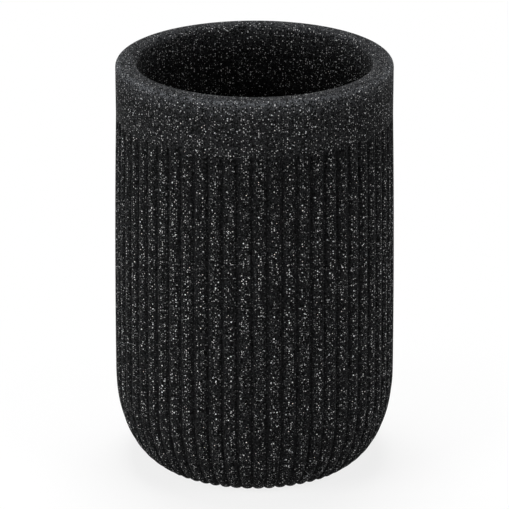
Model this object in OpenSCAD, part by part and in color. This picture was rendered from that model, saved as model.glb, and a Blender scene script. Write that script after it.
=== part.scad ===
// Bathroom tumbler: a thick cast cup with a plain collar, 59 upright ribs that run
// over a large rounded heel, and a soft pad glued into its foot.
// The cup stands on the plane z = 0 with its axis on the origin. A valley between
// two ribs faces the front, which is -Y.

/* [Cup] */
// Height of the cup from the surface it stands on to the top of the rim
cup_h = 112; // [90:1:140]
// Outer diameter of the collar and rim
rim_d = 73.4; // [62:0.1:90]
// How much wider the cup is over its ribs at the top of the heel than at the rim
wall_flare = 1.9; // [0:0.1:4]
// Thickness of the wall at the rim
wall_t = 5.7; // [4:0.1:8]
// Thickness of the floor inside the heel
floor_t = 7; // [5:0.5:10]

/* [Rim] */
// Radius of the outer edge of the rim
rim_outer_round = 1.7; // [0.8:0.1:2.2]
// Radius of the inner edge of the rim
rim_inner_round = 1.7; // [0.8:0.1:2.2]
// Height of the plain collar, from the top of the rim to the tops of the valleys
collar_h = 14.5; // [8:0.5:24]
// How far the collar stands proud of the rib crests
collar_proud = 0.05; // [0.03:0.01:0.2]
// How far the smooth skin runs on below the collar before the valleys start
collar_margin = 0.6; // [0.3:0.1:2]

/* [Bore] */
// How much narrower the bore is at its floor than at its mouth, so that the core draws out
bore_draft = 2; // [0:0.1:4]
// Radius between the wall of the bore and its floor
bore_round = 9; // [3:0.5:16]

/* [Heel] */
// Height of the rounded heel
heel_h = 24.5; // [12:0.5:32]
// How far the rounded heel reaches in towards the axis
heel_w = 13; // [6:0.5:15]

/* [Ribs] */
// Number of ribs round the cup
rib_count = 59; // [36:1:60]
// Depth of the valleys between the ribs on the wall
rib_depth = 0.9; // [0.3:0.05:1.2]
// How steeply a rib's flank falls into the valley, measured from its back, in degrees
rib_flank = 65; // [30:1:80]
// How fast the valleys get shallower towards the foot, as a power of the radius
foot_fade = 1.5; // [1:0.1:3]
// Height over which the top of a valley rounds out to the collar
valley_end_h = 2.2; // [1:0.1:6]

/* [Foot] */
// Thickness of the soft pad
pad_t = 1.3; // [0.8:0.1:2]
// How far the pad stands out below the foot
pad_proud = 0.5; // [0.2:0.1:0.7]
// Thickness of the film of glue that holds the pad
glue_t = 0.2; // [0.1:0.05:0.4]
// Clearance round the pad in its recess
pad_gap = 0.3; // [0.1:0.05:0.6]
// Width of the plain land between the ends of the ribs and the flat of the foot
land_w = 2; // [0.8:0.1:3]
// Height from the flat of the foot up to the ends of the ribs
land_h = 0.25; // [0.1:0.05:0.6]
// Width of the flat ring of the foot round the recess of the pad
foot_ring_w = 3.8; // [2:0.1:12]

/* [Hidden] */

shell_colour = [0.13, 0.13, 0.14];
pad_colour = [0.08, 0.08, 0.08];
glue_colour = [0.75, 0.72, 0.62];

// One overrun serves every cut, and the lap of the ribbed body inside the collar
cut_over = 1;
// Facets of the round surfaces
$fn = 120;

rim_r = rim_d / 2;
crest_r = rim_r - collar_proud;
widest_r = (rim_d + wall_flare) / 2;
mouth_r = rim_r - wall_t;
bore_floor_r = mouth_r - bore_draft / 2;
valley_top_z = cup_h - collar_h;
valley_end_z = valley_top_z - valley_end_h;
collar_z = valley_top_z + collar_margin;
floor_z = pad_proud + floor_t;
recess_h = pad_t + glue_t - pad_proud;

// The section of a rib, from valley to valley, is the back of an ellipse: where its points
// lie across the pitch, and how deep each one lies as a share of the valley's depth.
rib_across_shares = [0, 0.1, 0.27, 0.5, 0.73, 0.9];
function rib_dip_share(across) =
    let (turn = asin((2 * across - 1) * sin(rib_flank)))
    (1 - cos(turn)) / (1 - cos(rib_flank));
rib_points = len(rib_across_shares);
columns = rib_count * rib_points;
pitch = 360 / rib_count;

// A ring of the ribbed surface is [radius over the crests, height, angle at which the
// surface faces down, depth of the valleys as a share of rib_depth].
valley_end_steps = 3;
wall_steps = 3;
heel_steps = 9;
// The ribs end this far round the heel's ellipse, in degrees
heel_last = asin(1 - (pad_proud + land_h) / heel_h);

// The wall bows out from under the collar and is plumb where the heel starts
function wall_r(z) =
    widest_r - (widest_r - crest_r) * pow((z - heel_h) / (valley_top_z - heel_h), 2);
function heel_r(turn) = widest_r - heel_w * (1 - cos(turn));
function heel_ring_z(turn) = heel_h * (1 - sin(turn));
function heel_facing(turn) = atan2(heel_w * sin(turn), heel_h * cos(turn));
// Ribs draw together towards the foot, and their valleys get shallower as they do
function depth_share_at(r) = pow(r / widest_r, foot_fade);

// The flat of the foot ends where the land starts, and holds the recess and its pad
foot_r = heel_r(heel_last) - land_w;
recess_r = foot_r - foot_ring_w;
pad_r = recess_r - pad_gap;

collar_rings = [
    [crest_r, collar_z + cut_over, 0, 0],
    [crest_r, valley_top_z, 0, 0]
];
valley_end_rings = [
    for (step = [1 : valley_end_steps])
        let (turn = 90 * step / valley_end_steps)
        let (z = valley_top_z - valley_end_h * (1 - cos(turn)))
        [wall_r(z), z, 0, sin(turn)]
];
wall_rings = [
    for (step = [1 : wall_steps - 1])
        let (z = valley_end_z + (heel_h - valley_end_z) * step / wall_steps)
        [wall_r(z), z, 0, 1]
];
heel_rings = [
    for (step = [0 : heel_steps])
        let (turn = heel_last * step / heel_steps)
        let (r = heel_r(turn))
        [r, heel_ring_z(turn), heel_facing(turn), depth_share_at(r)]
];
land_ring = [[foot_r, pad_proud, 0, 0]];
rings = concat(collar_rings, valley_end_rings, wall_rings, heel_rings, land_ring);

function ring_point(ring, column) =
    let (rib = floor(column / rib_points))
    let (across = rib_across_shares[column % rib_points])
    let (angle = (rib + across) * pitch - 90)
    let (dip = rib_depth * ring[3] * rib_dip_share(across))
    let (r = ring[0] - dip * cos(ring[2]))
    [r * cos(angle), r * sin(angle), ring[1] + dip * sin(ring[2])];

// The solid inside the ribbed surface, from under the collar down to the foot
module ribbed_body() {
    points = [
        for (ring = rings)
            for (column = [0 : columns - 1])
                ring_point(ring, column)
    ];
    last = len(rings) - 1;
    sides = [
        for (level = [0 : last - 1])
            for (column = [0 : columns - 1])
                let (next = (column + 1) % columns)
                let (upper = level * columns)
                let (lower = upper + columns)
                each [
                    [upper + column, upper + next, lower + next],
                    [upper + column, lower + next, lower + column]
                ]
    ];
    top = [for (column = [columns - 1 : -1 : 0]) column];
    foot = [for (column = [0 : columns - 1]) last * columns + column];
    polyhedron(points = points, faces = concat([top], sides, [foot]), convexity = 4);
}

// The collar and the outer half of the rim, as one full disc
module collar() {
    rotate_extrude()
    union() {
        translate([0, collar_z])
        square([rim_r, cup_h - rim_outer_round - collar_z]);
        translate([0, collar_z])
        square([rim_r - rim_outer_round, cup_h - collar_z]);
        intersection() {
            translate([rim_r - rim_outer_round, cup_h - rim_outer_round])
            circle(r = rim_outer_round);
            translate([rim_r - rim_outer_round, collar_z])
            square([rim_outer_round, cup_h - collar_z]);
        }
    }
}

// What the bore takes away: a drafted shaft, a rounded floor and the rim's inner edge
module bore() {
    fillet_r = bore_floor_r - bore_round;
    rotate_extrude()
    union() {
        translate([0, floor_z])
        square([fillet_r, bore_round]);
        intersection() {
            translate([fillet_r, floor_z + bore_round])
            circle(r = bore_round);
            translate([fillet_r, floor_z])
            square([bore_round, bore_round]);
        }
        polygon([
            [0, floor_z + bore_round],
            [bore_floor_r, floor_z + bore_round],
            [mouth_r, cup_h - rim_inner_round],
            [mouth_r, cup_h + cut_over],
            [0, cup_h + cut_over]
        ]);
        difference() {
            translate([mouth_r, cup_h - rim_inner_round])
            square([rim_inner_round, rim_inner_round + cut_over]);
            translate([mouth_r + rim_inner_round, cup_h - rim_inner_round])
            circle(r = rim_inner_round);
        }
    }
}

module tumbler_shell() {
    color(shell_colour)
    difference() {
        union() {
            ribbed_body();
            collar();
        }
        bore();
        translate([0, 0, pad_proud - cut_over])
        cylinder(h = recess_h + cut_over, r = recess_r);
    }
}

module base_pad() {
    color(pad_colour)
    cylinder(h = pad_t, r = pad_r);
}

// The glue fills the gap between the pad and the top of its recess
module pad_adhesive() {
    color(glue_colour)
    translate([0, 0, pad_t])
    cylinder(h = glue_t, r = pad_r);
}

tumbler_shell();
base_pad();
pad_adhesive();
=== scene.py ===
"""Looks of the bathroom tumbler: a ribbed cup cast in black mineral-filled resin, on a
rubber pad that a film of glue holds in its foot. Lengths are metres, in the part's frame."""

import logging
import math
from dataclasses import dataclass, replace
from enum import Enum
from typing import Any, Iterable, Mapping, Sequence

import bmesh
import bpy
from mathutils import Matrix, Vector


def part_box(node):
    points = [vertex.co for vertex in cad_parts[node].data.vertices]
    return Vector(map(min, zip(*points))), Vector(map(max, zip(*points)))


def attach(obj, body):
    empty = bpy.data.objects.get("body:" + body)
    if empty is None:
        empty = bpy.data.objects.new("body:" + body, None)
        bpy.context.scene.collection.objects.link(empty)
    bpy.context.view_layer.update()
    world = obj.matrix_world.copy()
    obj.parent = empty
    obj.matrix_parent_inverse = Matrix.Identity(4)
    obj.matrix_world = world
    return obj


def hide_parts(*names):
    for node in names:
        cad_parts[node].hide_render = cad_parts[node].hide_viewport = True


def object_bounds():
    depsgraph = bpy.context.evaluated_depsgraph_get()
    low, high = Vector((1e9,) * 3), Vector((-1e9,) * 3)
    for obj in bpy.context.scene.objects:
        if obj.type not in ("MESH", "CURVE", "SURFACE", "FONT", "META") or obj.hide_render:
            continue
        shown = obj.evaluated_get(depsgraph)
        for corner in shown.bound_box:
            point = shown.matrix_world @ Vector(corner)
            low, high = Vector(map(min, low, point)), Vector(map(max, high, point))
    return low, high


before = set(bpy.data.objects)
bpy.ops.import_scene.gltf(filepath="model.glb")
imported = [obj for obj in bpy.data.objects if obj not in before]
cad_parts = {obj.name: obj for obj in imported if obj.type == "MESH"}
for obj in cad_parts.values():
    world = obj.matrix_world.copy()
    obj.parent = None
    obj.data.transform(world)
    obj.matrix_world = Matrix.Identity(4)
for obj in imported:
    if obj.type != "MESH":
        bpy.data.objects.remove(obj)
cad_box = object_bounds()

log = logging.getLogger("tumbler")

MM = 0.001
WHITE = (1.0, 1.0, 1.0, 1.0)
Colour = tuple[float, float, float]
# A (radius, height) on the section of a turned piece
Place = tuple[float, float]
Wire = bpy.types.NodeSocket
# What a node's input takes: another node's output socket, or a plain value
Value = Any


class Around(Enum):
    """Which way a lamp stands from the tumbler, as (x, y) towards it."""

    RIGHT = (1.0, -0.5)
    LEFT = (-0.84, -0.54)
    FRONT = (0.15, -1.0)
    BACK = (-0.1, 1.0)


class NodeSketch:
    """A node tree under construction, with short ways to add its nodes and wires."""

    def __init__(self, tree: bpy.types.NodeTree) -> None:
        """Starts on an empty or existing tree.

        Args:
            tree: the shader or geometry tree to draw in.
        """
        self.tree = tree

    @staticmethod
    def pick(sockets: Iterable[Wire], key: str | int) -> Wire:
        """Finds a socket.

        Args:
            sockets: a node's inputs or outputs.
            key: the socket's place, or its name among the sockets in use.

        Returns:
            The socket.
        """
        if isinstance(key, int):
            return list(sockets)[key]
        return next(s for s in sockets if s.name == key and s.enabled)

    def feed(self, node: bpy.types.Node, wires: Mapping[str | int, Value]) -> None:
        """Gives a node's inputs what they take.

        Args:
            node: the node.
            wires: an output socket or a plain value for each input.
        """
        for key, value in wires.items():
            socket = self.pick(node.inputs, key)
            if isinstance(value, bpy.types.NodeSocket):
                self.tree.links.new(value, socket)
            else:
                socket.default_value = value

    def add(
        self, kind: str, wires: Mapping[str | int, Value] | None = None, **settings: Value
    ) -> bpy.types.Node:
        """Adds a node.

        Args:
            kind: Blender's name of the node type.
            wires: what each input takes: an output socket, or a plain value.
            settings: the node's own properties.

        Returns:
            The new node.
        """
        node = self.tree.nodes.new(kind)
        for name, value in settings.items():
            setattr(node, name, value)
        self.feed(node, wires or {})
        return node

    def out(self, node: bpy.types.Node, key: str | int = 0) -> Wire:
        """Gives a node's output socket by name or place."""
        return self.pick(node.outputs, key)

    def maths(self, operation: str, *values: Value, clamp: bool = False) -> Wire:
        """Adds a Math node on up to three values and gives its result."""
        wires = dict(enumerate(values))
        return self.out(self.add("ShaderNodeMath", wires, operation=operation, use_clamp=clamp))

    def ramp(
        self, value: Wire, low: Value, high: Value, to_low: Value = 0.0, to_high: Value = 1.0
    ) -> Wire:
        """Adds a smooth Map Range.

        Args:
            value: what it reads.
            low: the value that becomes to_low.
            high: the value that becomes to_high.
            to_low: the result at and below low.
            to_high: the result at and above high.

        Returns:
            The result.
        """
        ends = {"From Min": low, "From Max": high, "To Min": to_low, "To Max": to_high}
        wires = {"Value": value, **ends}
        node = self.add("ShaderNodeMapRange", wires, interpolation_type="SMOOTHSTEP")
        return self.out(node, "Result")

    def blend(self, share: Value, first: Value, second: Value) -> Wire:
        """Mixes two colours.

        Args:
            share: how much of the second colour the mix has, 0 to 1.
            first: a colour, or an output socket that gives one.
            second: the other colour, in the same way.

        Returns:
            The mixed colour.
        """
        wires = {"Factor": share}
        for key, colour in (("A", first), ("B", second)):
            wires[key] = colour if isinstance(colour, bpy.types.NodeSocket) else (*colour, 1.0)
        return self.out(self.add("ShaderNodeMix", wires, data_type="RGBA"), "Result")

    def scaled(self, source: Wire, share: Value) -> Wire:
        """Multiplies a colour or a vector by one number and gives the result."""
        wires = {0: source, "Scale": share}
        return self.out(self.add("ShaderNodeVectorMath", wires, operation="SCALE"))

    def mark(self, name: str) -> Wire:
        """Reads one of the surface's attributes as a number."""
        return self.out(self.add("ShaderNodeAttribute", attribute_name=name), "Fac")

    def mixed(self, share: Wire, first: bpy.types.Node, second: bpy.types.Node) -> bpy.types.Node:
        """Mixes two shader nodes by a share and gives the mixing node."""
        return self.add("ShaderNodeMixShader", {0: share, 1: self.out(first), 2: self.out(second)})


def shader_group(
    name: str, takes: Mapping[str, float], gives: Sequence[str]
) -> tuple[NodeSketch, bpy.types.Node, bpy.types.Node]:
    """Starts a shader node group that turns a Vector and some numbers into other numbers.

    Args:
        name: the group's name.
        takes: name and default of each number that it takes, after its Vector.
        gives: name of each number that it gives.

    Returns:
        The sketch, the group's input node and its output node.
    """
    tree = bpy.data.node_groups.new(name, "ShaderNodeTree")
    tree.interface.new_socket("Vector", in_out="INPUT", socket_type="NodeSocketVector")
    for title, default in takes.items():
        socket = tree.interface.new_socket(title, in_out="INPUT", socket_type="NodeSocketFloat")
        socket.default_value = default
    for title in gives:
        tree.interface.new_socket(title, in_out="OUTPUT", socket_type="NodeSocketFloat")
    return NodeSketch(tree), tree.nodes.new("NodeGroupInput"), tree.nodes.new("NodeGroupOutput")


@dataclass(frozen=True)
class SurfaceGrain:
    """The fine grain that every finish here shares: a coarse mottle with a fine relief."""

    coarse_detail: float = 4.0
    coarse_rough: float = 0.62
    fine_detail: float = 2.0
    fine_rough: float = 0.5
    mottle_low: float = 0.33
    mottle_high: float = 0.70
    fine_share: float = 0.7
    mottle_share: float = 0.3

    def build(self) -> bpy.types.NodeTree:
        """Builds the node group.

        Returns:
            A group that turns Vector and the Coarse and Fine grain sizes into a Mottle and a
            Height, both 0 to 1.
        """
        takes = {"Coarse": 1.5 * MM, "Fine": 0.3 * MM}
        sketch, given, result = shader_group("surface_grain", takes, ("Mottle", "Height"))
        coarse = self._noise(sketch, given, "Coarse", self.coarse_detail, self.coarse_rough)
        fine = self._noise(sketch, given, "Fine", self.fine_detail, self.fine_rough)
        mottle = sketch.ramp(coarse, self.mottle_low, self.mottle_high)
        grains = sketch.maths("MULTIPLY", fine, self.fine_share)
        height = sketch.maths("ADD", grains, sketch.maths("MULTIPLY", mottle, self.mottle_share))
        sketch.feed(result, {"Mottle": mottle, "Height": height})
        return sketch.tree

    @staticmethod
    def _noise(
        sketch: NodeSketch, given: bpy.types.Node, size: str, detail: float, rough: float
    ) -> Wire:
        """Adds a noise with grains as large as one of the group's inputs says.

        Args:
            sketch: the group's sketch.
            given: the group's input node.
            size: the name of the input with the grain size.
            detail: how many finer noises are laid over it.
            rough: how strong those are.

        Returns:
            The noise, 0 to 1.
        """
        scale = sketch.maths("DIVIDE", 1.0, given.outputs[size])
        looks = {"Scale": scale, "Detail": detail, "Roughness": rough}
        noise = sketch.add("ShaderNodeTexNoise", {"Vector": given.outputs["Vector"], **looks})
        return sketch.out(noise, "Fac")


@dataclass(frozen=True)
class MineralChips:
    """A scatter of chips cast into a solid, cut by whatever surface passes through it."""

    scatter: float = 0.8
    least_radius: float = 0.55
    dullness: float = 1.8

    def build(self) -> bpy.types.NodeTree:
        """Builds the node group.

        Returns:
            A group that gives the Mask of the chips and a Tone from 0 to 1 for each chip.
        """
        takes = {"Spacing": 0.6 * MM, "Filled": 0.3, "Radius": 0.2 * MM, "Softness": 0.3}
        sketch, given, result = shader_group("mineral_chips", takes, ("Mask", "Tone"))
        vector, spacing = given.outputs["Vector"], given.outputs["Spacing"]
        scale = sketch.maths("DIVIDE", 1.0, spacing)
        wires = {"Vector": vector, "Scale": scale, "Randomness": self.scatter}
        cells = sketch.add("ShaderNodeTexVoronoi", wires)
        dice = sketch.add("ShaderNodeSeparateColor", {"Color": sketch.out(cells, "Color")}).outputs
        present = sketch.maths("LESS_THAN", dice["Red"], given.outputs["Filled"])
        # A chip's own radius is least_radius to 1 of the largest, in the texture's units
        spare = sketch.maths("MULTIPLY", dice["Green"], 1.0 - self.least_radius)
        own = sketch.maths("ADD", self.least_radius, spare)
        size = sketch.maths("MULTIPLY", given.outputs["Radius"], own)
        radius = sketch.maths("DIVIDE", size, spacing)
        firm = sketch.maths("SUBTRACT", 1.0, given.outputs["Softness"])
        core = sketch.maths("MULTIPLY", radius, firm)
        spot = sketch.ramp(sketch.out(cells, "Distance"), core, radius, 1.0, 0.0)
        # Most chips are dull and a few are bright
        tone = sketch.maths("POWER", dice["Blue"], self.dullness)
        sketch.feed(result, {"Mask": sketch.maths("MULTIPLY", spot, present), "Tone": tone})
        return sketch.tree


@dataclass(frozen=True)
class SharedEffects:
    """The node groups that the finishes share, or place more than once."""

    grain: bpy.types.NodeTree
    chips: bpy.types.NodeTree

    @classmethod
    def build(cls) -> "SharedEffects":
        """Builds each group once."""
        return cls(grain=SurfaceGrain().build(), chips=MineralChips().build())

    def place_grain(
        self, sketch: NodeSketch, coarse: float, fine: float
    ) -> tuple[Wire, Wire, Wire]:
        """Places the surface grain in a material.

        Args:
            sketch: the material's sketch.
            coarse: size of the mottle.
            fine: size of the relief's grains.

        Returns:
            The coordinates that it reads, its mottle and its height.
        """
        at = sketch.out(sketch.add("ShaderNodeTexCoord"), "Object")
        wires = {"Vector": at, "Coarse": coarse, "Fine": fine}
        grain = sketch.add("ShaderNodeGroup", wires, node_tree=self.grain)
        return at, sketch.out(grain, "Mottle"), sketch.out(grain, "Height")


def empty_material(name: str) -> tuple[bpy.types.Material, NodeSketch, bpy.types.Node]:
    """Makes a material that holds only a Principled shader.

    Args:
        name: the material's name.

    Returns:
        The material, its sketch and its Principled node.
    """
    material = bpy.data.materials.new(name)
    material.use_nodes = True
    material.node_tree.nodes.clear()
    sketch = NodeSketch(material.node_tree)
    shader = sketch.add("ShaderNodeBsdfPrincipled")
    sketch.add("ShaderNodeOutputMaterial", {"Surface": sketch.out(shader)})
    return material, sketch, shader


def relief(
    sketch: NodeSketch, shader: bpy.types.Node, height: Wire, depth: float, strength: float
) -> None:
    """Feeds a Bump node into a shader's Normal.

    Args:
        sketch: the material's sketch.
        shader: its Principled node.
        height: the height field, 0 to 1.
        depth: how deep a height of 1 stands, in metres.
        strength: the bump's strength.
    """
    bump = sketch.add("ShaderNodeBump", {"Height": height, "Distance": depth, "Strength": strength})
    sketch.feed(shader, {"Normal": sketch.out(bump)})


@dataclass(frozen=True)
class ChipLayer:
    """Mineral chips of one size and colour. shift keeps its pattern off the other layers'."""

    spacing: float
    filled: float
    radius: float
    softness: float
    dark: Colour
    light: Colour
    shift: float


@dataclass(frozen=True)
class CastResin:
    """Matt black cast resin, filled with mineral flour and scattered with pale chips.

    The ground is mottled from deep to milky, and lighter toward the rim's edge as painted sheen.
    The ribs add the share crest_ground to its brightness, and the bore adds bore_ground times
    its share of painted shade, which grows with depth. The chips are dimmed by painted shade:
    they keep valley_shade of their brightness in a valley and nearly all of it on a crest, and
    lose a further share where there are no ribs and toward the top of the ribs.
    """

    name: str = "cast_resin"
    deep: Colour = (0.0010, 0.0010, 0.0011)
    milky: Colour = (0.0180, 0.0183, 0.0190)
    # painted sheen: the lighter colour laid on the rim
    rim_sheen_colour: Colour = (0.106, 0.111, 0.119)
    coarse_grain: float = 0.6 * MM
    fine_grain: float = 0.28 * MM
    crest_ground: float = -0.30
    # painted shade in the bore: how much it darkens the ground
    bore_ground: float = -3.0
    # how unevenly the rim's painted sheen is laid
    sheen_low: float = 0.36
    sheen_high: float = 0.64
    # painted shade of the chips in the valleys, and its ragged edge
    valley_shade: float = 0.14
    valley_low: float = 0.40
    valley_high: float = 1.10
    valley_ragged: float = 0.40
    # painted shade: the share of the chips' brightness lost where there are no ribs and toward the
    # top of the ribs
    top_shade: float = 0.38
    specular: float = 0.005
    roughness_low: float = 0.56
    roughness_high: float = 0.70
    polish_low: float = 0.25
    polish_high: float = 0.75
    chip_proud: float = 0.35
    relief_depth: float = 0.05 * MM
    relief_strength: float = 1.0
    layers: tuple[ChipLayer, ...] = (
        ChipLayer(
            0.28 * MM, 0.40, 0.13 * MM, 0.20, (0.018, 0.0182, 0.0185), (0.13, 0.131, 0.133), 5.1
        ),
        ChipLayer(
            0.38 * MM, 0.42, 0.13 * MM, 0.15, (0.07, 0.0704, 0.071), (0.45, 0.452, 0.455), 0.0
        ),
        ChipLayer(0.56 * MM, 0.54, 0.155 * MM, 0.05, (0.55, 0.551, 0.553), (1.0, 1.0, 1.0), 3.7),
        ChipLayer(0.80 * MM, 0.24, 0.195 * MM, 0.05, (0.87, 0.89, 0.93), (1.0, 1.0, 0.99), 7.3),
    )

    def build(self, effects: SharedEffects) -> bpy.types.Material:
        """Builds the material.

        Args:
            effects: the shared node groups.

        Returns:
            The material, which reads rib_rise, rib_zone and the marks of its painted shade and
            painted sheen.
        """
        material, sketch, shader = empty_material(self.name)
        at, mottle, height = effects.place_grain(sketch, self.coarse_grain, self.fine_grain)
        colour = self._ground(sketch, mottle, height)
        # the share of the chips' brightness that the painted shade leaves
        light = self._painted_chip_shade(sketch, height)
        proud: Wire | None = None
        for layer in self.layers:
            mask, tone = self._scatter(sketch, effects, at, layer)
            pale = sketch.scaled(sketch.blend(tone, layer.dark, layer.light), light)
            colour = sketch.blend(mask, colour, pale)
            proud = mask if proud is None else sketch.maths("MAXIMUM", proud, mask)
        rough = sketch.ramp(
            height, self.polish_low, self.polish_high, self.roughness_high, self.roughness_low
        )
        wires = {"Base Color": colour, "Roughness": rough, "Specular IOR Level": self.specular}
        sketch.feed(shader, wires)
        raised = sketch.maths("ADD", height, sketch.maths("MULTIPLY", proud, self.chip_proud))
        relief(sketch, shader, raised, self.relief_depth, self.relief_strength)
        return material

    def _ground(self, sketch: NodeSketch, mottle: Wire, height: Wire) -> Wire:
        """Mixes the ground between the chips.

        Args:
            sketch: the material's sketch.
            mottle: the grain's mottle.
            height: the grain's height, which makes the painted sheen uneven.

        Returns:
            The ground's colour.
        """
        on_ribs = sketch.maths("MULTIPLY_ADD", sketch.mark("rib_zone"), self.crest_ground, 1.0)
        # painted shade: the ground darker down the bore
        in_bore = sketch.maths("MULTIPLY_ADD", sketch.mark("painted_bore_shade"), self.bore_ground, 1.0)
        plain = sketch.blend(mottle, self.deep, self.milky)
        ground = sketch.scaled(plain, sketch.maths("MULTIPLY", on_ribs, in_bore))
        # painted sheen: the rim's edge made lighter, unevenly by the grain
        uneven = sketch.ramp(height, self.sheen_low, self.sheen_high)
        sheen_share = sketch.maths("MULTIPLY", sketch.mark("rim_sheen"), uneven, clamp=True)
        return sketch.blend(sheen_share, ground, self.rim_sheen_colour)

    def _painted_chip_shade(self, sketch: NodeSketch, height: Wire) -> Wire:
        """Finds how much of the chips' brightness the painted shade leaves.

        Args:
            sketch: the material's sketch.
            height: the grain's height, which makes the edge of the valleys' shade ragged.

        Returns:
            A share from 0 to 1: low in the valleys and in the bore, and lowered where there are no
            ribs and toward the top of the ribs.
        """
        # painted shade: the chips dim toward the bottom of each valley, with a ragged edge
        uneven = sketch.maths("SUBTRACT", height, 0.5)
        ragged = sketch.maths("MULTIPLY", uneven, sketch.mark("rib_zone"))
        rise = sketch.maths("MULTIPLY_ADD", ragged, self.valley_ragged, sketch.mark("rib_rise"))
        shade = sketch.ramp(rise, self.valley_low, self.valley_high, self.valley_shade, 1.0)
        # painted shade: the chips dimmed where there are no ribs and toward the top of the ribs
        out_of_top_shade = sketch.mark("rib_out_of_top_shade")
        top_dimming = sketch.maths("MULTIPLY_ADD", out_of_top_shade, self.top_shade, 1.0 - self.top_shade)
        return sketch.maths("MULTIPLY", top_dimming, shade)

    @staticmethod
    def _scatter(
        sketch: NodeSketch, effects: SharedEffects, at: Wire, layer: ChipLayer
    ) -> tuple[Wire, Wire]:
        """Places one layer of chips.

        Args:
            sketch: the material's sketch.
            effects: the shared node groups.
            at: the object coordinates.
            layer: the chips.

        Returns:
            Their mask and their tone.
        """
        moved = sketch.add("ShaderNodeMapping", {"Vector": at, "Location": (layer.shift,) * 3})
        wires = {
            "Vector": sketch.out(moved),
            "Spacing": layer.spacing,
            "Filled": layer.filled,
            "Radius": layer.radius,
            "Softness": layer.softness,
        }
        chips = sketch.add("ShaderNodeGroup", wires, node_tree=effects.chips)
        return sketch.out(chips, "Mask"), sketch.out(chips, "Tone")


@dataclass(frozen=True)
class PadRubber:
    """Black rubber sheet with a fine pebbled face."""

    name: str = "pad_rubber"
    dark: Colour = (0.010, 0.010, 0.0105)
    light: Colour = (0.022, 0.022, 0.023)
    coarse_grain: float = 4.0 * MM
    fine_grain: float = 0.35 * MM
    roughness_low: float = 0.70
    roughness_high: float = 0.90
    pebble: float = 0.55 * MM
    pebble_smooth: float = 0.6
    pebble_top: float = 0.1
    pebble_edge: float = 0.75
    grain_share: float = 0.3
    relief_depth: float = 0.09 * MM
    relief_strength: float = 0.8

    def build(self, effects: SharedEffects) -> bpy.types.Material:
        """Builds the material.

        Args:
            effects: the shared node groups.

        Returns:
            The material.
        """
        material, sketch, shader = empty_material(self.name)
        at, mottle, height = effects.place_grain(sketch, self.coarse_grain, self.fine_grain)
        wires = {"Vector": at, "Scale": 1.0 / self.pebble, "Smoothness": self.pebble_smooth}
        cells = sketch.add("ShaderNodeTexVoronoi", wires, feature="SMOOTH_F1")
        away = sketch.out(cells, "Distance")
        pebbles = sketch.ramp(away, self.pebble_top, self.pebble_edge, 1.0, 0.0)
        colour = sketch.blend(mottle, self.dark, self.light)
        rough = sketch.ramp(pebbles, 0.0, 1.0, self.roughness_high, self.roughness_low)
        sketch.feed(shader, {"Base Color": colour, "Roughness": rough})
        raised = sketch.maths("ADD", pebbles, sketch.maths("MULTIPLY", height, self.grain_share))
        relief(sketch, shader, raised, self.relief_depth, self.relief_strength)
        return material


@dataclass(frozen=True)
class GlueFilm:
    """Pale film of double-sided glue, slightly cloudy and crinkled."""

    name: str = "glue_film"
    clear: Colour = (0.50, 0.46, 0.34)
    cloudy: Colour = (0.66, 0.63, 0.52)
    coarse_grain: float = 6.0 * MM
    fine_grain: float = 1.1 * MM
    clear_roughness: float = 0.38
    cloudy_roughness: float = 0.58
    relief_depth: float = 0.03 * MM
    relief_strength: float = 0.6

    def build(self, effects: SharedEffects) -> bpy.types.Material:
        """Builds the material.

        Args:
            effects: the shared node groups.

        Returns:
            The material.
        """
        material, sketch, shader = empty_material(self.name)
        _, mottle, height = effects.place_grain(sketch, self.coarse_grain, self.fine_grain)
        colour = sketch.blend(mottle, self.clear, self.cloudy)
        rough = sketch.ramp(mottle, 0.0, 1.0, self.clear_roughness, self.cloudy_roughness)
        sketch.feed(shader, {"Base Color": colour, "Roughness": rough})
        relief(sketch, shader, height, self.relief_depth, self.relief_strength)
        return material


@dataclass(frozen=True)
class ProfilePoint:
    """A point of the shell's outline, in its (radius, height) plane.

    facing points out of the resin. valley_share is how much of rib_depth the valleys have at
    the point, and the last two fields are its share of the painted sheen on the rim and of the
    painted shade in the bore.
    """

    radius: float
    height: float
    facing: Place
    valley_share: float = 0.0
    sheen_share: float = 0.0
    bore_shade: float = 0.0


def arc(centre: Place, size: Place, start: float, end: float, steps: int) -> list[ProfilePoint]:
    """Lays points along an elliptical arc.

    Args:
        centre: the ellipse's centre.
        size: its half-axes along the radius and along the height.
        start: the first point's angle in degrees, from outwards towards up.
        end: the last point's angle in degrees.
        steps: how many spaces lie between them.

    Returns:
        The points, facing away from the ellipse's centre.
    """
    points = []
    for step in range(steps + 1):
        turn = math.radians(start + (end - start) * step / steps)
        across, up = math.cos(turn), math.sin(turn)
        facing = Vector((across * size[1], up * size[0])).normalized()
        radius, height = centre[0] + size[0] * across, centre[1] + size[1] * up
        points.append(ProfilePoint(radius, height, tuple(facing)))
    return points


def hollow(points: Iterable[ProfilePoint]) -> list[ProfilePoint]:
    """Turns the facing of an arc round, for a corner seen from inside its ellipse."""
    return [replace(p, facing=(-p.facing[0], -p.facing[1])) for p in points]


def straight(start: Place, end: Place, steps: int) -> list[ProfilePoint]:
    """Lays points along a straight stretch of the outline, both ends left out.

    Args:
        start: where it starts.
        end: where it ends.
        steps: how many spaces it has.

    Returns:
        The points, facing to the right of the way they run, which is outwards on this outline.
    """
    run = Vector((end[0] - start[0], end[1] - start[1]))
    side = Vector((run.y, -run.x)).normalized()
    return [
        ProfilePoint(start[0] + run.x * step / steps, start[1] + run.y * step / steps, tuple(side))
        for step in range(1, steps)
    ]


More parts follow.
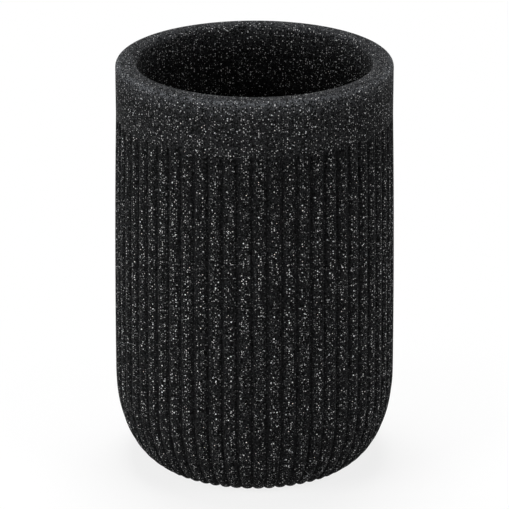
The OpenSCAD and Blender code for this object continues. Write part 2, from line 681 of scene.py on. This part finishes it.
class RibbedSweep:
    """The geometry tree that turns an outline round the axis and presses valleys into it."""

    TAKES: tuple[tuple[str, str], ...] = (
        ("Outline", "NodeSocketGeometry"),
        ("Rib Count", "NodeSocketInt"),
        ("Points per Rib", "NodeSocketInt"),
        ("Rib Depth", "NodeSocketFloat"),
        ("Rib Flank", "NodeSocketFloat"),
        ("Valley Top", "NodeSocketFloat"),
        ("Valley End", "NodeSocketFloat"),
        ("End Scatter", "NodeSocketFloat"),
        # how far below the valleys' top the chips' painted shade fades out
        ("Top Shade Reach", "NodeSocketFloat"),
        ("Depth Scatter", "NodeSocketFloat"),
        ("Seed", "NodeSocketFloat"),
        ("Finish", "NodeSocketMaterial"),
    )
    MERGE_REACH: float = 0.001 * MM

    def __init__(self) -> None:
        """Starts the tree with its named inputs."""
        self.tree = bpy.data.node_groups.new("ribbed_sweep", "GeometryNodeTree")
        for title, kind in self.TAKES:
            self.tree.interface.new_socket(title, in_out="INPUT", socket_type=kind)
        self.tree.interface.new_socket("Shell", in_out="OUTPUT", socket_type="NodeSocketGeometry")
        self.sketch = NodeSketch(self.tree)
        self.given = self.tree.nodes.new("NodeGroupInput").outputs

    def build(self) -> bpy.types.NodeTree:
        """Draws the tree.

        Returns:
            The tree. Its shell carries rib_rise, which is 1 on a crest and 0 at the bottom of
            a valley and lower in the bore, rib_zone, and the marks of the painted shade and the
            painted sheen, for the resin to read.
        """
        sketch, given = self.sketch, self.given
        mesh, column, ring = self._grid()
        at = self._read(ring, "FLOAT_VECTOR")
        facing = self._read(ring, "FLOAT_VECTOR", "facing")
        share = self._read(ring, "FLOAT", "valley_share")
        # the bore's painted shade, which also lowers rib_rise
        bore_shade = self._read(ring, "FLOAT", "bore_shade")
        place_round, angle, dip = self._rib_section(column)
        below, opened, extra = self._nearest_valley(place_round, at)
        zone = sketch.maths("MULTIPLY", opened, share)
        depth_share = sketch.maths("MULTIPLY", zone, dip)
        depth = sketch.maths("MULTIPLY", depth_share, sketch.maths("ADD", 1.0, extra))
        press = sketch.maths("MULTIPLY", depth, given["Rib Depth"])
        crest_share = sketch.maths("SUBTRACT", 1.0, depth_share)
        # fades the chips' painted shade out down the ribs
        clear = sketch.maths("DIVIDE", below, given["Top Shade Reach"], clamp=True)
        # the marks that the resin's painted shade and painted sheen read
        marks = {
            "rib_rise": sketch.maths("SUBTRACT", crest_share, bore_shade, clamp=True),
            "rib_zone": zone,
            "rib_out_of_top_shade": sketch.maths("MULTIPLY", clear, share),
            "painted_bore_shade": bore_shade,
            "rim_sheen": self._read(ring, "FLOAT", "sheen_share"),
        }
        for name, value in marks.items():
            wires = {"Geometry": mesh, "Name": name, "Value": value}
            kind = "GeometryNodeStoreNamedAttribute"
            mesh = sketch.out(sketch.add(kind, wires, data_type="FLOAT", domain="POINT"))
        self._close(mesh, self._turned(at, facing, press, angle))
        return self.tree

    def _grid(self) -> tuple[Wire, Wire, Wire]:
        """Adds a flat grid, with a column for each point round the cup and a row for each ring.

        Returns:
            The grid's mesh, and the numbers of a point's column and ring.
        """
        sketch, given = self.sketch, self.given
        columns = sketch.maths("MULTIPLY", given["Rib Count"], given["Points per Rib"])
        size = sketch.add("GeometryNodeAttributeDomainSize", {"Geometry": given["Outline"]})
        rings = sketch.out(size, "Point Count")
        across = sketch.maths("ADD", columns, 1.0)
        wires = {"Size X": 1.0, "Size Y": 1.0, "Vertices X": across, "Vertices Y": rings}
        grid = sketch.add("GeometryNodeMeshGrid", wires)
        position = sketch.out(sketch.add("GeometryNodeInputPosition"))
        place = sketch.add("ShaderNodeSeparateXYZ", {0: position}).outputs
        column = self._whole(place["X"], columns)
        ring = self._whole(place["Y"], sketch.maths("SUBTRACT", rings, 1.0))
        return sketch.out(grid, "Mesh"), column, ring

    def _whole(self, place: Wire, spaces: Wire) -> Wire:
        """Turns a place from -0.5 to 0.5 on the grid into a whole number from 0 to spaces."""
        share = self.sketch.maths("ADD", place, 0.5)
        return self.sketch.maths("ROUND", self.sketch.maths("MULTIPLY", share, spaces))

    def _read(self, ring: Wire, kind: str, name: str | None = None) -> Wire:
        """Reads the outline at a ring.

        Args:
            ring: the ring's number.
            kind: Blender's name of the value's type.
            name: the attribute to read, or none for the position.

        Returns:
            The value.
        """
        sketch = self.sketch
        if name is None:
            value = sketch.out(sketch.add("GeometryNodeInputPosition"))
        else:
            source = sketch.add("GeometryNodeInputNamedAttribute", {"Name": name}, data_type=kind)
            value = sketch.out(source, "Attribute")
        wires = {"Geometry": self.given["Outline"], "Value": value, "Index": ring}
        sample = sketch.add("GeometryNodeSampleIndex", wires, data_type=kind, domain="POINT")
        return sketch.out(sample, "Value")

    def _rib_section(self, column: Wire) -> tuple[Wire, Wire, Wire]:
        """Finds where a column stands on its rib, whose section is the back of an ellipse.

        Args:
            column: the column's number. A rib's columns are at even turns round its ellipse.

        Returns:
            The column's place round the cup in ribs, its angle round the axis, and how far it
            dips from the crest, as a share of the valley's depth.
        """
        sketch, given = self.sketch, self.given
        ribs_passed = sketch.maths("DIVIDE", column, given["Points per Rib"])
        flank = sketch.maths("RADIANS", given["Rib Flank"])
        across = sketch.maths("MULTIPLY_ADD", sketch.maths("FRACT", ribs_passed), 2.0, -1.0)
        turn = sketch.maths("MULTIPLY", across, flank)
        fall = sketch.maths("SUBTRACT", 1.0, sketch.maths("COSINE", turn))
        deepest = sketch.maths("SUBTRACT", 1.0, sketch.maths("COSINE", flank))
        offset = sketch.maths("DIVIDE", sketch.maths("SINE", turn), sketch.maths("SINE", flank))
        rib_place = sketch.maths("MULTIPLY_ADD", offset, 0.5, 0.5)
        place_round = sketch.maths("ADD", sketch.maths("FLOOR", ribs_passed), rib_place)
        pitch = sketch.maths("DIVIDE", math.tau, given["Rib Count"])
        angle = sketch.maths("MULTIPLY_ADD", place_round, pitch, -math.pi / 2)
        return place_round, angle, sketch.maths("DIVIDE", fall, deepest)

    def _nearest_valley(self, place_round: Wire, at: Wire) -> tuple[Wire, Wire, Wire]:
        """Finds how the valley nearest to a point runs. The valley's number seeds its scatter.

        Args:
            place_round: the point's place round the cup, in ribs.
            at: the point on the outline.

        Returns:
            How far the point lies below the valley's top, how open the valley is there from 0
            to 1, and what its scatter adds to its depth, as a share.
        """
        sketch, given = self.sketch, self.given
        number = sketch.maths("ROUND", place_round)
        nearest = sketch.maths("FLOORED_MODULO", number, given["Rib Count"])
        seeded = sketch.maths("ADD", nearest, given["Seed"])
        noise = sketch.add("ShaderNodeTexWhiteNoise", {"W": seeded}, noise_dimensions="1D")
        dice = sketch.add("ShaderNodeSeparateXYZ", {0: sketch.out(noise, "Color")}).outputs
        lift = self._centred(dice["X"], given["End Scatter"])
        extra = self._centred(dice["Y"], given["Depth Scatter"])
        height = sketch.add("ShaderNodeSeparateXYZ", {0: at}).outputs["Z"]
        below = sketch.maths("SUBTRACT", sketch.maths("ADD", given["Valley Top"], lift), height)
        passed = sketch.maths("DIVIDE", below, given["Valley End"])
        gone = sketch.maths("SUBTRACT", 1.0, passed, clamp=True)
        kept = sketch.maths("SUBTRACT", 1.0, sketch.maths("MULTIPLY", gone, gone))
        return below, sketch.maths("SQRT", kept), extra

    def _centred(self, dice: Wire, reach: Wire) -> Wire:
        """Turns a number from 0 to 1 into one from -reach to reach."""
        spread = self.sketch.maths("MULTIPLY_ADD", dice, 2.0, -1.0)
        return self.sketch.maths("MULTIPLY", spread, reach)

    def _turned(self, at: Wire, facing: Wire, press: Wire, angle: Wire) -> Wire:
        """Presses a point of the outline in and turns it round the axis.

        Args:
            at: the point on the outline.
            facing: the way it faces.
            press: how far it is pressed in.
            angle: its angle round the axis.

        Returns:
            Its place on the shell.
        """
        sketch = self.sketch
        wires = {0: at, 1: sketch.scaled(facing, press)}
        pressed = sketch.add("ShaderNodeVectorMath", wires, operation="SUBTRACT")
        flat = sketch.add("ShaderNodeSeparateXYZ", {0: sketch.out(pressed)}).outputs
        turned = {
            "X": sketch.maths("MULTIPLY", flat["X"], sketch.maths("COSINE", angle)),
            "Y": sketch.maths("MULTIPLY", flat["X"], sketch.maths("SINE", angle)),
            "Z": flat["Z"],
        }
        return sketch.out(sketch.add("ShaderNodeCombineXYZ", turned))

    def _close(self, mesh: Wire, places: Wire) -> None:
        """Moves the grid's points to their places, joins its seam and poles, and dresses it.

        Args:
            mesh: the grid, with its marks.
            places: where its points go.
        """
        steps = (
            ("GeometryNodeSetPosition", {"Position": places}),
            ("GeometryNodeMergeByDistance", {"Distance": self.MERGE_REACH}),
            ("GeometryNodeSetShadeSmooth", {}),
            ("GeometryNodeRealizeInstances", {}),
            ("GeometryNodeSetMaterial", {"Material": self.given["Finish"]}),
        )
        for kind, wires in steps:
            mesh = self.sketch.out(self.sketch.add(kind, {"Geometry": mesh, **wires}))
        self.sketch.add("NodeGroupOutput", {"Shell": mesh})


@dataclass(frozen=True)
class CastShell:
    """The cup: wall, collar, rim, ribs, bore and foot, cast in one piece."""

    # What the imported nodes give
    top: float
    foot: float
    widest: float
    recess_top: float
    recess_radius: float
    # Wall, collar, rim and bore
    wall: float = 5.7 * MM
    floor: float = 7.0 * MM
    collar: float = 14.5 * MM
    rim_radius: float = 36.7 * MM
    rim_outer_round: float = 1.7 * MM
    rim_inner_round: float = 1.7 * MM
    bore_draft: float = 1.0 * MM
    bore_round: float = 9.0 * MM
    # Heel and foot
    heel_height: float = 24.5 * MM
    heel_width: float = 13.0 * MM
    heel_turn: float = 68.0
    end_round: float = 0.4 * MM
    land_width: float = 2.0 * MM
    land_height: float = 0.25 * MM
    edge_ease: float = 0.15 * MM
    pad_clearance: float = 0.3 * MM
    # Ribs, and the valleys between them
    rib_count: int = 59
    rib_depth: float = 0.9 * MM
    rib_flank: float = 65.0
    valley_end: float = 2.2 * MM
    foot_fade: float = 2.0
    end_scatter: float = 0.35 * MM
    depth_scatter: float = 0.10
    seed: int = 11
    # How the resin's colour is painted: painted shade fading down the ribs from their top, painted
    # sheen on the rim and painted shade in the bore
    top_shade_reach: float = 28.0 * MM
    sheen_drop: float = 2.1 * MM
    sheen_most: float = 1.7
    sheen_inside: float = 0.4
    sheen_least: float = 0.32
    # painted shade in the bore: how deep it takes to set in and how strong it grows
    bore_shade_depth: float = 6.0 * MM
    bore_shade_share: float = 0.20
    # How finely the shell is divided
    points_per_rib: int = 12
    wall_steps: int = 12
    end_steps: int = 12
    land_steps: int = 6

    @classmethod
    def from_frame(cls) -> "CastShell":
        """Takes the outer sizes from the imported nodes.

        Returns:
            The shell, ready to build.
        """
        low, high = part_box("tumbler_shell")
        _, glue_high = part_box("pad_adhesive")
        return cls(
            top=high.z,
            foot=low.z,
            widest=high.y,
            recess_top=glue_high.z,
            recess_radius=glue_high.x + cls.pad_clearance,
        )

    def outline(self) -> list[ProfilePoint]:
        """Lays out the section, from the middle of the recess round to the middle of the bore.

        Returns:
            The points of the section, in order.
        """
        return [*self._recess(), *self._heel(), *self._wall(), *self._rim(), *self._bore()]

    def _recess(self) -> list[ProfilePoint]:
        """Lays out the recess for the pad and the flat of the foot round it.

        Returns:
            Their points.
        """
        ease = self.edge_ease
        inner, outer = self.recess_radius, self._foot_radius() - ease
        corner = hollow(arc((inner - ease, self.recess_top - ease), (ease, ease), 90, 0, steps=3))
        lip = arc((inner + ease, self.foot + ease), (ease, ease), 180, 270, steps=3)
        flat = straight((inner + ease, self.foot), (outer, self.foot), steps=3)
        middle = ProfilePoint(0.0, self.recess_top, (0.0, -1.0))
        return [middle, *corner, *lip, *flat, ProfilePoint(outer, self.foot, (0.0, -1.0))]

    def _heel_end(self) -> tuple[float, float, float]:
        """Finds where the heel's curve gives way to its straight cut.

        Returns:
            The radius and height there, and the angle in degrees at which it faces down.
        """
        turn = math.radians(self.heel_turn)
        radius = self.widest - self.heel_width * (1 - math.cos(turn))
        height = self.heel_height * (1 - math.sin(turn))
        facing = math.atan2(self.heel_width * math.sin(turn), self.heel_height * math.cos(turn))
        return radius, height, math.degrees(facing)

    def _rib_end(self) -> Place:
        """Finds the corner at which the ribs end.

        Returns:
            Its radius and height.
        """
        radius, height, facing = self._heel_end()
        low = self.foot + self.land_height
        return radius - (height - low) * math.tan(math.radians(facing)), low

    def _foot_radius(self) -> float:
        """The radius at which the flat of the foot meets the land."""
        return self._rib_end()[0] - self.land_width

    def _heel(self) -> list[ProfilePoint]:
        """Lays out the land, the eased corner of the rib ends, their cut and the rounded heel.

        Returns:
            Their points, with the depth of the valleys.
        """
        radius, height, facing = self._heel_end()
        corner = Vector(self._rib_end())
        start = Vector((self._foot_radius() - self.edge_ease, self.foot))
        land_facing = 90.0 - math.degrees(math.atan2(corner.y - start.y, corner.x - start.x))
        cut = math.tan(math.radians(land_facing - facing) / 2) * self.end_round
        up = (Vector((radius, height)) - corner).normalized()
        outward = Vector((up.y, -up.x))
        middle = corner + up * cut - outward * self.end_round
        eased = arc(tuple(middle), (self.end_round, self.end_round), -land_facing, -facing, steps=5)
        land_end = (eased[0].radius, eased[0].height)
        land = [
            self._ribbed(p, math.sin(math.pi / 2 * step / self.land_steps))
            for step, p in enumerate(straight(tuple(start), land_end, self.land_steps), 1)
        ]
        sloped = straight((eased[-1].radius, eased[-1].height), (radius, height), steps=4)
        centre = (self.widest - self.heel_width, self.heel_height)
        curve = arc(centre, (self.heel_width, self.heel_height), -self.heel_turn, 0, steps=24)
        return [*land, *(self._ribbed(p) for p in (*eased, *sloped, *curve))]

    def _ribbed(self, point: ProfilePoint, share: float = 1.0) -> ProfilePoint:
        """Gives a point of the heel its valley depth, which gets less towards the foot."""
        return replace(point, valley_share=share * (point.radius / self.widest) ** self.foot_fade)

    def _wall(self) -> list[ProfilePoint]:
        """Lays out the bowed, ribbed wall, with close rings where the valleys end at the collar.

        Returns:
            Its points.
        """
        low, high = self.heel_height, self.top - self.collar
        close_from = high - self.valley_end - self.end_scatter
        close_to = high + self.end_scatter
        shares = [step / self.wall_steps for step in range(1, self.wall_steps)]
        heights = [low + (close_from - low) * share for share in shares]
        shares = [step / self.end_steps for step in range(self.end_steps + 1)]
        heights += [close_from + (close_to - close_from) * share for share in shares]
        points = []
        for z in heights:
            share = min(1.0, (z - low) / (high - low))
            radius = self.widest - (self.widest - self.rim_radius) * share**2
            points.append(ProfilePoint(radius, z, (1.0, 0.0), 1.0))
        return points

    def _rim(self) -> list[ProfilePoint]:
        """Lays out the collar and the rounded rim.

        Returns:
            Their points, with their share of painted sheen.
        """
        edge, top = self.rim_radius, self.top
        outer, inner = self.rim_outer_round, self.rim_inner_round
        mouth = edge - self.wall
        collar = straight((edge, top - self.collar), (edge, top - outer), steps=4)[1:]
        over = arc((edge - outer, top - outer), (outer, outer), 0, 90, steps=8)
        flat = straight((edge - outer, top), (mouth + inner, top), steps=3)
        under = arc((mouth + inner, top - inner), (inner, inner), 90, 180, steps=8)
        return [self._sheened(p) for p in (*collar, *over, *flat, *under)]

    def _sheened(self, point: ProfilePoint) -> ProfilePoint:
        """Gives a point of the rim its share of painted sheen: most on the outer edge, least on the
        flat.

        Args:
            point: the point.

        Returns:
            The point with its share of painted sheen.
        """
        # painted sheen, fading out below the top of the rim
        down = 1.0 - (self.top - point.height) / self.sheen_drop
        out = point.facing[0]
        sheen_strength = max(self.sheen_least, self.sheen_most * out, -self.sheen_inside * out)
        return replace(point, sheen_share=max(0.0, down) * sheen_strength)

    def _bore(self) -> list[ProfilePoint]:
        """Lays out the drafted bore and its rounded floor.

        Returns:
            Their points, with their share of painted shade.
        """
        mouth = self.rim_radius - self.wall
        end, floor, bend = mouth - self.bore_draft, self.foot + self.floor, self.bore_round
        wall = straight((mouth, self.top - self.rim_inner_round), (end, floor + bend), steps=15)
        corner = hollow(arc((end - bend, floor + bend), (bend, bend), 0, -90, steps=12))
        flat = straight((end - bend, floor), (0.0, floor), steps=4)
        middle = ProfilePoint(0.0, floor, (0.0, 1.0))
        return [self._bore_shaded(p) for p in (*wall, *corner, *flat, middle)]

    def _bore_shaded(self, point: ProfilePoint) -> ProfilePoint:
        """Gives a point of the bore its share of painted shade, which sets in below the mouth."""
        depth = (self.top - point.height) / self.bore_shade_depth
        return replace(point, bore_shade=self.bore_shade_share * min(1.0, depth))

    def _outline_object(self) -> bpy.types.Object:
        """Makes a line of vertices along the section.

        Returns:
            The line, which carries each point's values as attributes.
        """
        points = self.outline()
        mesh = bpy.data.meshes.new("shell_outline")
        edges = [(i, i + 1) for i in range(len(points) - 1)]
        mesh.from_pydata([(p.radius, 0.0, p.height) for p in points], edges, [])
        facing = mesh.attributes.new("facing", "FLOAT_VECTOR", "POINT")
        ways = [c for p in points for c in (p.facing[0], 0.0, p.facing[1])]
        facing.data.foreach_set("vector", ways)
        for name in ("valley_share", "sheen_share", "bore_shade"):
            values = mesh.attributes.new(name, "FLOAT", "POINT")
            values.data.foreach_set("value", [getattr(p, name) for p in points])
        line = bpy.data.objects.new("shell_outline", mesh)
        bpy.context.scene.collection.objects.link(line)
        return line

    def build(self, finish: bpy.types.Material) -> bpy.types.Object:
        """Sweeps the outline, bakes the result to a mesh and puts it in place of the CAD node.

        Args:
            finish: the resin's material.

        Returns:
            The shell.
        """
        line = self._outline_object()
        sweep = line.modifiers.new("ribbed_sweep", "NODES")
        sweep.node_group = RibbedSweep().build()
        sizes = {
            "Rib Count": self.rib_count,
            "Points per Rib": self.points_per_rib,
            "Rib Depth": self.rib_depth,
            "Rib Flank": self.rib_flank,
            "Valley Top": self.top - self.collar,
            "Valley End": self.valley_end,
            "End Scatter": self.end_scatter,
            "Top Shade Reach": self.top_shade_reach,
            "Depth Scatter": self.depth_scatter,
            "Seed": float(self.seed),
            "Finish": finish,
        }
        for item in sweep.node_group.interface.items_tree:
            if item.in_out == "INPUT" and item.name in sizes:
                sweep[item.identifier] = sizes[item.name]
        piece = baked(line, "cast_shell")
        return settle(piece, finish, "tumbler_shell")


@dataclass(frozen=True)
class RubberPad:
    """The soft pad in the foot, a die-cut disc with eased edges."""

    radius: float
    low: float
    high: float
    edge: float = 0.22 * MM
    sides: int = 192
    edge_steps: int = 5
    face_rings: tuple[float, ...] = (0.98, 0.75, 0.45, 0.18)

    @classmethod
    def from_frame(cls) -> "RubberPad":
        """Takes the pad's size and place from its node."""
        low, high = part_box("base_pad")
        return cls(radius=high.x, low=low.z, high=high.z)

    def build(self, finish: bpy.types.Material) -> bpy.types.Object:
        """Builds the disc and puts it in place of its node.

        Args:
            finish: the rubber's material.

        Returns:
            The pad.
        """
        edge, middle = self.edge, self.radius - self.edge
        lower = arc((middle, self.low + edge), (edge, edge), -90, 0, self.edge_steps)
        upper = arc((middle, self.high - edge), (edge, edge), 0, 90, self.edge_steps)
        under = [(self.radius * share, self.low) for share in reversed(self.face_rings)]
        over = [(self.radius * share, self.high) for share in self.face_rings]
        rings = under + [(p.radius, p.height) for p in lower + upper] + over
        piece = turned_disc("rubber_pad", rings, self.low, self.high, self.sides)
        return settle(piece, finish, "base_pad")


@dataclass(frozen=True)
class GluePatch:
    """The film of glue between the pad and its recess, with a slightly uneven cut edge.

    waves holds how often each wave of the cut edge runs round it, and its size in millimetres.
    """

    radius: float
    low: float
    high: float
    sides: int = 180
    edge_share: float = 0.25
    face_ring: float = 0.5
    cut_from: float = 0.9
    waves: tuple[tuple[int, float], ...] = ((7, 0.05), (16, 0.03), (31, 0.02))

    @classmethod
    def from_frame(cls) -> "GluePatch":
        """Takes the film's size and place from its node."""
        low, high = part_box("pad_adhesive")
        return cls(radius=high.x, low=low.z, high=high.z)

    def _wobble(self, angle: float) -> float:
        """How far the cut edge draws in at an angle, in metres."""
        total = sum(size * (1 + math.sin(count * angle + size)) for count, size in self.waves)
        return total * MM

    def build(self, finish: bpy.types.Material) -> bpy.types.Object:
        """Builds the film and puts it in place of its node.

        Args:
            finish: the glue's material.

        Returns:
            The film.
        """
        edge = (self.high - self.low) * self.edge_share
        rings = [
            (self.radius * self.face_ring, self.low),
            (self.radius - edge, self.low),
            (self.radius, self.low + edge),
            (self.radius, self.high - edge),
            (self.radius - edge, self.high),
            (self.radius * self.face_ring, self.high),
        ]
        piece = turned_disc("glue_patch", rings, self.low, self.high, self.sides)
        for vertex in piece.data.vertices:
            out = vertex.co.to_2d().length
            if out > self.radius * self.cut_from:
                angle = math.atan2(vertex.co.y, vertex.co.x)
                shrink = (out - self._wobble(angle)) / out
                vertex.co.x *= shrink
                vertex.co.y *= shrink
        return settle(piece, finish, "pad_adhesive")


def turned_disc(
    name: str, rings: Sequence[Place], low: float, high: float, sides: int
) -> bpy.types.Object:
    """Turns a section round the axis into a closed disc.

    Args:
        name: the object's name.
        rings: each ring's place, from the lower face round the edge to the upper face.
        low: height of the middle of the lower face.
        high: height of the middle of the upper face.
        sides: how many sides a ring has.

    Returns:
        The disc, faces outwards and closed at both middles.
    """
    work = bmesh.new()
    loops = []
    for radius, height in rings:
        angles = [math.tau * side / sides for side in range(sides)]
        places = [(radius * math.cos(a), radius * math.sin(a), height) for a in angles]
        loops.append([work.verts.new(place) for place in places])
    for lower, upper in zip(loops, loops[1:]):
        for side in range(sides):
            following = (side + 1) % sides
            work.faces.new((lower[side], lower[following], upper[following], upper[side]))
    for loop, height in ((loops[0], low), (loops[-1], high)):
        middle = work.verts.new((0.0, 0.0, height))
        for side in range(sides):
            work.faces.new((loop[side], loop[(side + 1) % sides], middle))
    bmesh.ops.recalc_face_normals(work, faces=work.faces)
    mesh = bpy.data.meshes.new(name)
    work.to_mesh(mesh)
    work.free()
    mesh.shade_smooth()
    piece = bpy.data.objects.new(name, mesh)
    bpy.context.scene.collection.objects.link(piece)
    return piece


def baked(source: bpy.types.Object, name: str) -> bpy.types.Object:
    """Turns an object's modifiers into a plain mesh of its own and removes the source.

    Args:
        source: the object that carries the modifiers.
        name: the new object's name.

    Returns:
        The plain object, with faces outwards.
    """
    bpy.context.view_layer.update()
    shaped = source.evaluated_get(bpy.context.evaluated_depsgraph_get())
    mesh = bpy.data.meshes.new_from_object(shaped)
    mesh.name = name
    source.modifiers.clear()
    bpy.data.objects.remove(source)
    work = bmesh.new()
    work.from_mesh(mesh)
    if work.calc_volume(signed=True) < 0:
        bmesh.ops.reverse_faces(work, faces=work.faces)
    work.to_mesh(mesh)
    work.free()
    piece = bpy.data.objects.new(name, mesh)
    bpy.context.scene.collection.objects.link(piece)
    return piece


def settle(
    piece: bpy.types.Object, finish: bpy.types.Material, node: str
) -> bpy.types.Object:
    """Dresses a finished piece and puts it in place of its CAD node.

    Args:
        piece: the piece, with its place in its mesh.
        finish: its material.
        node: the CAD node that it stands for.

    Returns:
        The piece.
    """
    mesh = piece.data
    mesh.materials.clear()
    mesh.materials.append(finish)
    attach(piece, "root")
    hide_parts(node)
    log.info("%s: %d vertices, %d faces", piece.name, len(mesh.vertices), len(mesh.polygons))
    return piece


@dataclass(frozen=True)
class Lamp:
    """A soft square lamp aimed at the tumbler."""

    name: str
    side: Around
    distance: float
    height: float
    size: float
    power: float


@dataclass(frozen=True)
class Studio:
    """A pale floor, soft lamps and the camera."""

    centre_height: float
    floor_colour: Colour = (0.86, 0.86, 0.86)
    floor_roughness: float = 0.9
    floor_specular: float = 0.1
    floor_radius: float = 3.0
    floor_sides: int = 96
    floor_gap: float = 0.02 * MM
    white_near: float = 0.8
    white_from: float = 0.03
    white_to: float = 0.12
    world_level: float = 0.05
    aim_height: float = 57.0 * MM
    camera_distance: float = 0.9175
    camera_azimuth: float = 0.90
    camera_elevation: float = 20.63
    lens: float = 241.2
    sensor: float = 36.0
    clip_start: float = 0.05
    clip_end: float = 20.0
    lamps: tuple[Lamp, ...] = (
        Lamp("right_lamp", Around.RIGHT, 0.75, 0.40, 0.45, 2.7),
        Lamp("left_lamp", Around.LEFT, 0.75, 0.30, 0.45, 4.9),
        Lamp("front_lamp", Around.FRONT, 1.10, 0.30, 0.60, 1.0),
        Lamp("back_lamp", Around.BACK, 0.25, 1.05, 0.50, 9.8),
    )

    def build(self) -> None:
        """Builds the whole studio."""
        self._floor()
        self._world()
        for lamp in self.lamps:
            self._lamp(lamp)
        self._camera()
        bpy.context.scene.view_settings.view_transform = "Standard"

    def _floor(self) -> None:
        """Lays a pale floor under the pad."""
        work = bmesh.new()
        bmesh.ops.create_circle(
            work, cap_ends=True, segments=self.floor_sides, radius=self.floor_radius
        )
        bmesh.ops.translate(work, verts=work.verts, vec=(0.0, 0.0, -self.floor_gap))
        mesh = bpy.data.meshes.new("floor")
        work.to_mesh(mesh)
        work.free()
        mesh.materials.append(self._floor_material())
        floor = bpy.data.objects.new("floor", mesh)
        bpy.context.scene.collection.objects.link(floor)

    def _floor_material(self) -> bpy.types.Material:
        """Builds the floor's material.

        Returns:
            A pale material that fades to plain white away from the tumbler and, seen from
            below, is clear, so that the foot shows.
        """
        material, sketch, shader = empty_material("pale_floor")
        looks = {
            "Base Color": (*self.floor_colour, 1.0),
            "Roughness": self.floor_roughness,
            "Specular IOR Level": self.floor_specular,
        }
        sketch.feed(shader, looks)
        at = sketch.out(sketch.add("ShaderNodeTexCoord"), "Object")
        away = sketch.out(sketch.add("ShaderNodeVectorMath", {0: at}, operation="LENGTH"), "Value")
        far = sketch.ramp(away, self.white_from, self.white_to, self.white_near, 1.0)
        share = sketch.maths("MULTIPLY", far, self._backdrop_ray(sketch))
        white = sketch.add("ShaderNodeEmission", {"Color": WHITE, "Strength": 1.0})
        behind = sketch.out(sketch.add("ShaderNodeNewGeometry"), "Backfacing")
        clear = sketch.add("ShaderNodeBsdfTransparent")
        shown = sketch.mixed(behind, sketch.mixed(share, shader, white), clear)
        sketch.feed(sketch.tree.get_output_node("ALL"), {"Surface": sketch.out(shown)})
        return material

    @staticmethod
    def _backdrop_ray(sketch: NodeSketch) -> Wire:
        """Finds the rays that see the backdrop: from the camera, by gloss or through glass.

        Args:
            sketch: the material's or the world's sketch.

        Returns:
            1 for those rays and 0 for the rest.
        """
        path = sketch.add("ShaderNodeLightPath").outputs
        seen = sketch.maths("MAXIMUM", path["Is Camera Ray"], path["Is Glossy Ray"])
        return sketch.maths("MAXIMUM", seen, path["Is Transmission Ray"])

    def _world(self) -> None:
        """Lights the scene softly from all round, with plain white for the camera and gloss."""
        world = bpy.data.worlds.new("soft_white")
        bpy.context.scene.world = world
        world.use_nodes = True
        world.node_tree.nodes.clear()
        sketch = NodeSketch(world.node_tree)
        level = sketch.ramp(self._backdrop_ray(sketch), 0.0, 1.0, self.world_level, 1.0)
        sky = sketch.add("ShaderNodeBackground", {"Color": WHITE, "Strength": level})
        sketch.add("ShaderNodeOutputWorld", {"Surface": sketch.out(sky)})

    def _lamp(self, lamp: Lamp) -> None:
        """Hangs one lamp.

        Args:
            lamp: the lamp.
        """
        data = bpy.data.lights.new(lamp.name, "AREA")
        data.shape = "SQUARE"
        data.size = lamp.size
        data.energy = lamp.power
        light = bpy.data.objects.new(lamp.name, data)
        way = Vector((*lamp.side.value, 0.0)).normalized()
        light.location = way * lamp.distance + Vector((0.0, 0.0, lamp.height))
        target = Vector((0.0, 0.0, self.centre_height))
        light.rotation_euler = (target - light.location).to_track_quat("-Z", "Y").to_euler()
        bpy.context.scene.collection.objects.link(light)

    def _camera(self) -> None:
        """Sets the camera where the photograph was taken from."""
        data = bpy.data.cameras.new("camera")
        data.lens = self.lens
        data.sensor_width = self.sensor
        data.clip_start = self.clip_start
        data.clip_end = self.clip_end
        camera = bpy.data.objects.new("camera", data)
        turn, lift = math.radians(self.camera_azimuth), math.radians(self.camera_elevation)
        back = Vector(
            (math.sin(turn) * math.cos(lift), -math.cos(turn) * math.cos(lift), math.sin(lift))
        )
        camera.location = Vector((0.0, 0.0, self.aim_height)) + back * self.camera_distance
        camera.rotation_euler = (-back).to_track_quat("-Z", "Y").to_euler()
        bpy.context.scene.collection.objects.link(camera)
        bpy.context.scene.camera = camera


def main() -> None:
    """Builds the tumbler's pieces in order, then the studio round them."""
    logging.basicConfig(level=logging.INFO, format="%(name)s: %(message)s")
    effects = SharedEffects.build()
    CastShell.from_frame().build(CastResin().build(effects))
    RubberPad.from_frame().build(PadRubber().build(effects))
    GluePatch.from_frame().build(GlueFilm().build(effects))
    low, high = cad_box
    Studio(centre_height=(low.z + high.z) / 2).build()


if __name__ == "__main__":
    main()
